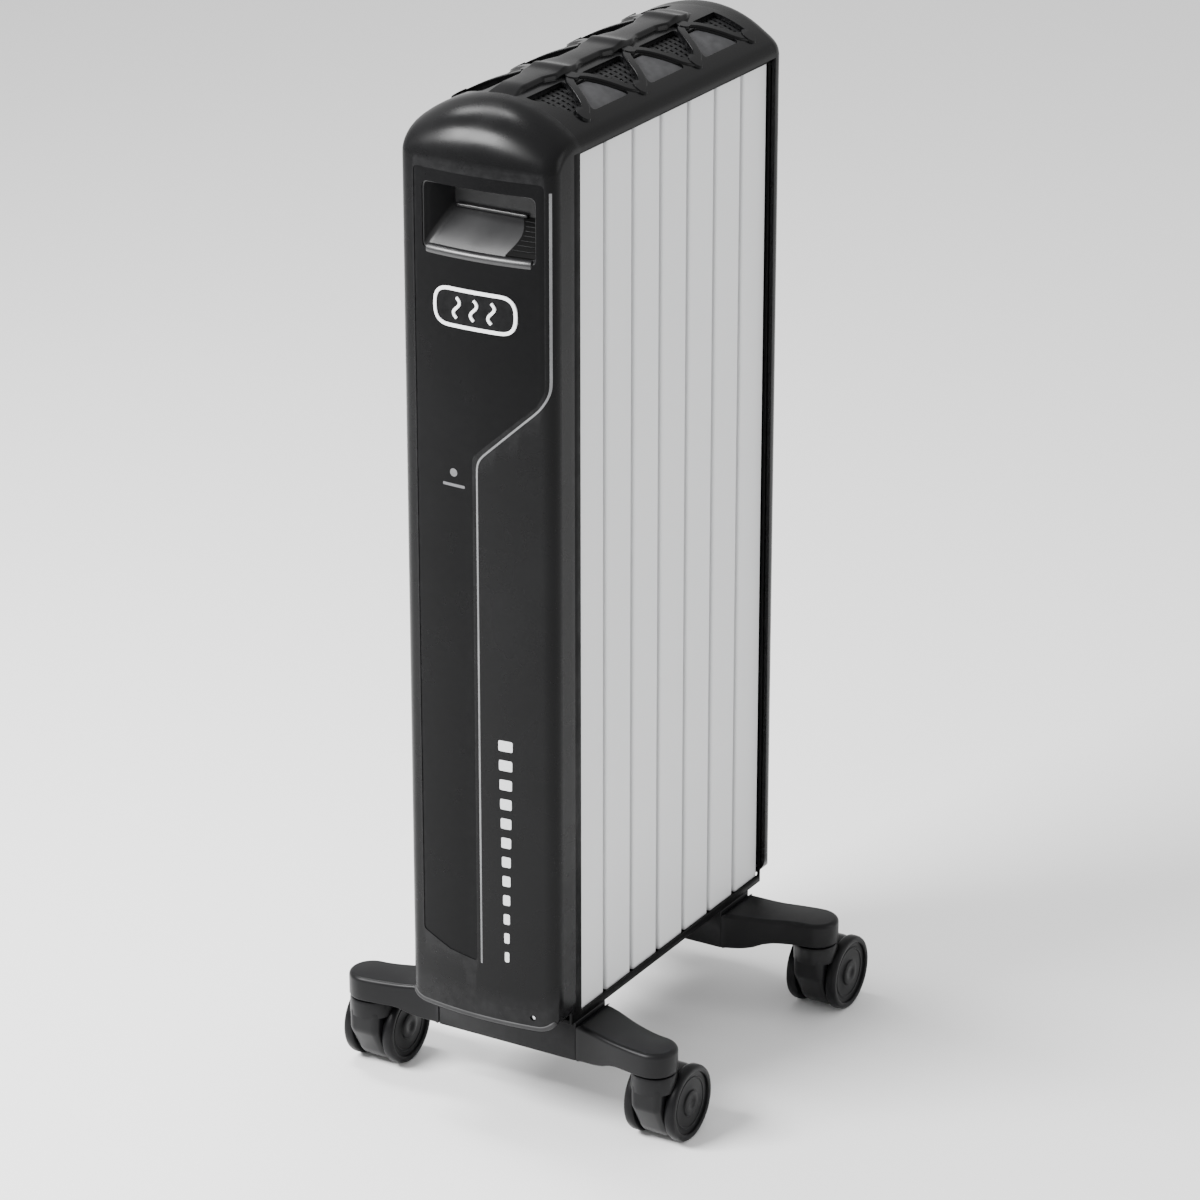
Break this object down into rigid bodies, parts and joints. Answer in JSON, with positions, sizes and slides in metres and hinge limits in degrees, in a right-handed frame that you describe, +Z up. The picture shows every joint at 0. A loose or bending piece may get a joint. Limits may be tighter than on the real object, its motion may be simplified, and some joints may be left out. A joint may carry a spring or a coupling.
{
  "type": "oil filled radiator heater",
  "caption": "Upright oil filled radiator heater: white steel sections between black end caps, latticed top cover, handle pocket, and feet on twin-wheel swivel casters.",
  "frame": {"origin": "on the floor under the centre of the bounding box", "axes": "+X from the handle end towards the control end, +Y to the left when looking along +X, +Z up"},
  "size_m": [0.296, 0.2466, 0.674],
  "materials": {
    "cap_plastic": "satin black moulded plastic",
    "gloss_black": "polished black plastic",
    "inset_black": "smooth black plastic",
    "white_steel": "white powder coat, satin",
    "dark_steel": "black powder coat, satin",
    "foot_plastic": "fine grained black plastic",
    "wheel_plastic": "dark grey plastic",
    "bright_steel": "zinc plated",
    "badge_metal": "satin",
    "print_grey": "printed",
    "window": "tinted window",
    "button_grey": "soft grey",
    "rocker_red": "dark red",
    "board": "circuit board",
    "ceramic": "cream insulating plastic",
    "brass": "plain"
  },
  "bodies": {
    "heater": {"front_cap": "cap_plastic", "front_inset": "inset_black", "handle_pocket": "cap_plastic", "badge": "badge_metal", "accent_marks": "print_grey", "side_frame_left": "dark_steel", "side_frame_right": "dark_steel", "top_cover": "gloss_black", "top_mesh": "dark_steel", "rear_cap": "cap_plastic", "control_fascia": "inset_black", "display_window": "window", "rocker_frame": "cap_plastic", "cord_gland": "foot_plastic", "control_board": "board", "terminal_block": "ceramic", "thermal_cutout": "ceramic", "heating_element": "bright_steel", "element_flange": "bright_steel", "oil_plugs": "bright_steel", "tie_rods": "bright_steel", "base_pan": "dark_steel", "tilt_switch": "ceramic", "front_foot_bar": "dark_steel", "rear_foot_bar": "dark_steel", "caster_stems": "bright_steel", "screws": "bright_steel", "section_1": "white_steel", "section_2": "white_steel", "section_3": "white_steel", "section_4": "white_steel", "section_5": "white_steel", "section_6": "white_steel", "section_7": "white_steel", "leg_front_left": "foot_plastic", "leg_front_right": "foot_plastic", "leg_rear_left": "foot_plastic", "leg_rear_right": "foot_plastic"},
    "power_button": {"button_power": "button_grey"},
    "up_button": {"button_up": "button_grey"},
    "down_button": {"button_down": "button_grey"},
    "rocker": {"mains_rocker": "rocker_red"},
    "pendulum": {"tilt_pendulum": "brass"},
    "caster_front_left": {"hood_front_left": "foot_plastic", "axle_front_left": "bright_steel"},
    "roller_front_left_a": {"wheel_front_left_a": "wheel_plastic"},
    "roller_front_left_b": {"wheel_front_left_b": "wheel_plastic"},
    "caster_front_right": {"hood_front_right": "foot_plastic", "axle_front_right": "bright_steel"},
    "roller_front_right_a": {"wheel_front_right_a": "wheel_plastic"},
    "roller_front_right_b": {"wheel_front_right_b": "wheel_plastic"},
    "caster_rear_left": {"hood_rear_left": "foot_plastic", "axle_rear_left": "bright_steel"},
    "roller_rear_left_a": {"wheel_rear_left_a": "wheel_plastic"},
    "roller_rear_left_b": {"wheel_rear_left_b": "wheel_plastic"},
    "caster_rear_right": {"hood_rear_right": "foot_plastic", "axle_rear_right": "bright_steel"},
    "roller_rear_right_a": {"wheel_rear_right_a": "wheel_plastic"},
    "roller_rear_right_b": {"wheel_rear_right_b": "wheel_plastic"}
  },
  "joints": [
    {"name": "front_left_swivel", "type": "hinge", "parent": "heater", "child": "caster_front_left", "pos_m": [-0.108, 0.105, 0.05], "axis": [0, 0, 1], "continuous": true},
    {"name": "front_left_roll_a", "type": "hinge", "parent": "caster_front_left", "child": "roller_front_left_a", "pos_m": [-0.091, 0.105, 0.025], "axis": [0, 1, 0], "continuous": true},
    {"name": "front_left_roll_b", "type": "hinge", "parent": "caster_front_left", "child": "roller_front_left_b", "pos_m": [-0.091, 0.105, 0.025], "axis": [0, 1, 0], "continuous": true},
    {"name": "front_right_swivel", "type": "hinge", "parent": "heater", "child": "caster_front_right", "pos_m": [-0.108, -0.105, 0.05], "axis": [0, 0, 1], "continuous": true},
    {"name": "front_right_roll_a", "type": "hinge", "parent": "caster_front_right", "child": "roller_front_right_a", "pos_m": [-0.091, -0.105, 0.025], "axis": [0, 1, 0], "continuous": true},
    {"name": "front_right_roll_b", "type": "hinge", "parent": "caster_front_right", "child": "roller_front_right_b", "pos_m": [-0.091, -0.105, 0.025], "axis": [0, 1, 0], "continuous": true},
    {"name": "rear_left_swivel", "type": "hinge", "parent": "heater", "child": "caster_rear_left", "pos_m": [0.106, 0.105, 0.05], "axis": [0, 0, 1], "continuous": true},
    {"name": "rear_left_roll_a", "type": "hinge", "parent": "caster_rear_left", "child": "roller_rear_left_a", "pos_m": [0.123, 0.105, 0.025], "axis": [0, 1, 0], "continuous": true},
    {"name": "rear_left_roll_b", "type": "hinge", "parent": "caster_rear_left", "child": "roller_rear_left_b", "pos_m": [0.123, 0.105, 0.025], "axis": [0, 1, 0], "continuous": true},
    {"name": "rear_right_swivel", "type": "hinge", "parent": "heater", "child": "caster_rear_right", "pos_m": [0.106, -0.105, 0.05], "axis": [0, 0, 1], "continuous": true},
    {"name": "rear_right_roll_a", "type": "hinge", "parent": "caster_rear_right", "child": "roller_rear_right_a", "pos_m": [0.123, -0.105, 0.025], "axis": [0, 1, 0], "continuous": true},
    {"name": "rear_right_roll_b", "type": "hinge", "parent": "caster_rear_right", "child": "roller_rear_right_b", "pos_m": [0.123, -0.105, 0.025], "axis": [0, 1, 0], "continuous": true},
    {"name": "power_press", "type": "slide", "parent": "heater", "child": "power_button", "axis": [-1, 0, 0], "range_m": [0, 0.0015], "stiffness_N_per_m": 600},
    {"name": "up_press", "type": "slide", "parent": "heater", "child": "up_button", "axis": [-1, 0, 0], "range_m": [0, 0.0015], "stiffness_N_per_m": 600},
    {"name": "down_press", "type": "slide", "parent": "heater", "child": "down_button", "axis": [-1, 0, 0], "range_m": [0, 0.0015], "stiffness_N_per_m": 600},
    {"name": "mains_switch_tip", "type": "hinge", "parent": "heater", "child": "rocker", "pos_m": [0.138, 0, 0.43], "axis": [0, 1, 0], "range_deg": [-16, 0]},
    {"name": "pendulum_swing", "type": "hinge", "parent": "heater", "child": "pendulum", "pos_m": [-0.0055, 0, 0.094], "axis": [0, 1, 0], "range_deg": [-20, 20]}
  ]
}
